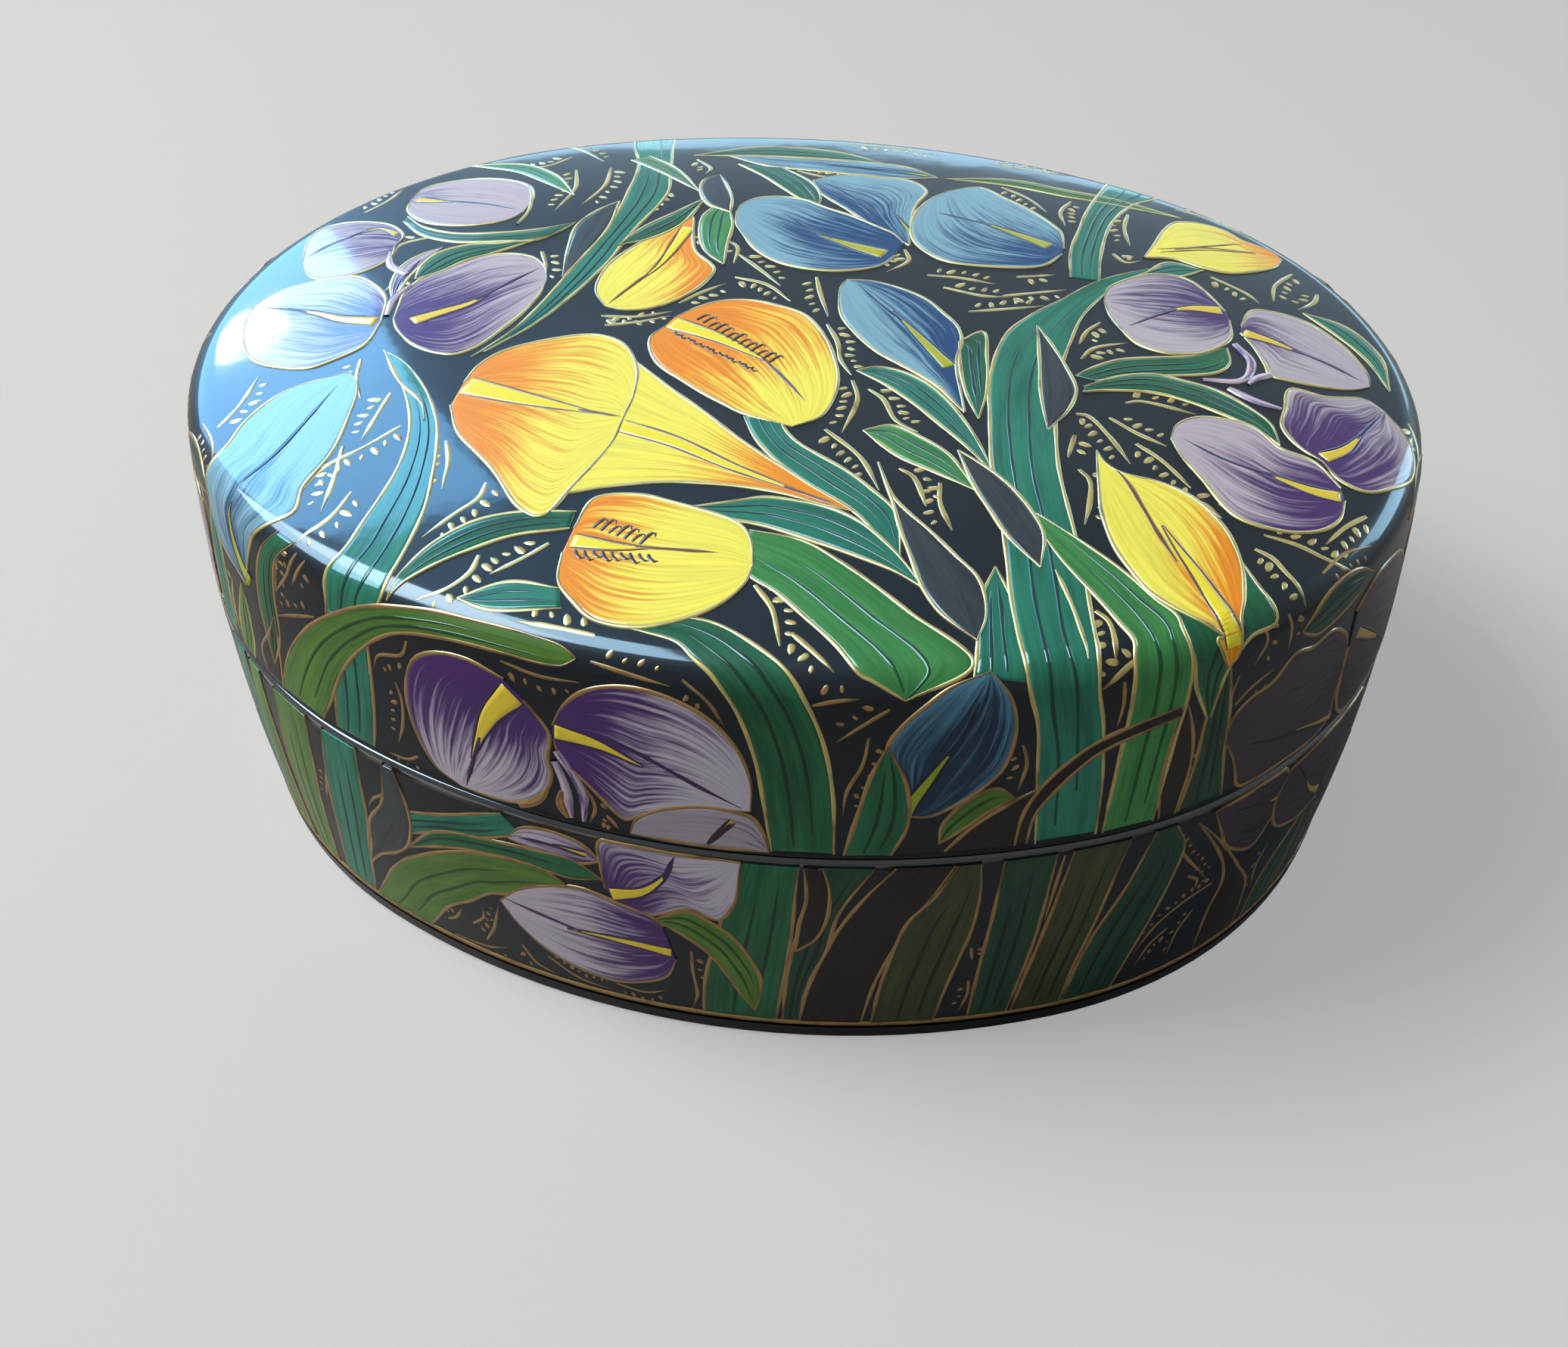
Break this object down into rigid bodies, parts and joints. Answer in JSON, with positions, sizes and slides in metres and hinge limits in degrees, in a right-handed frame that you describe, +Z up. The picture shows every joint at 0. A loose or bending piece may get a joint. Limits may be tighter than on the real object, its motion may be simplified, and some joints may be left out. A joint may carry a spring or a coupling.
{
  "type": "papier mache box",
  "caption": "Low oval box of lacquered papier mache with a lift-off crowned lid that fits over an inner collar, painted all over with flowers and leaves",
  "frame": {"origin": "middle of the underside of the base, on the surface that the box stands on", "axes": "+Z up, the way the lid lifts; +X along the length of the oval; +Y across it, away from the side that the picture shows"},
  "size_m": [0.1, 0.0836, 0.0387],
  "materials": {
    "painted_lacquer": "black ground painted with flowers and leaves, raised gold outlines, under clear glossy varnish",
    "black_lacquer": "black paint under thin varnish, satin to glossy",
    "black_lining": "paper painted matt black",
    "paper_pulp": "pressed paper pulp, hidden under coat and lining"
  },
  "bodies": {
    "base": {"base_floor": "black_lacquer", "base_wall": "paper_pulp", "base_ground_coat": "painted_lacquer", "inner_collar": "black_lacquer", "base_floor_lining": "black_lining"},
    "lid": {"lid_wall": "paper_pulp", "lid_crown": "paper_pulp", "lid_ground_coat": "painted_lacquer", "lid_wall_lining": "black_lining", "lid_crown_lining": "black_lining"}
  },
  "joints": [
    {"name": "lid_lift", "type": "slide", "parent": "base", "child": "lid", "axis": [0, 0, 1], "range_m": [0, 0.06]}
  ]
}
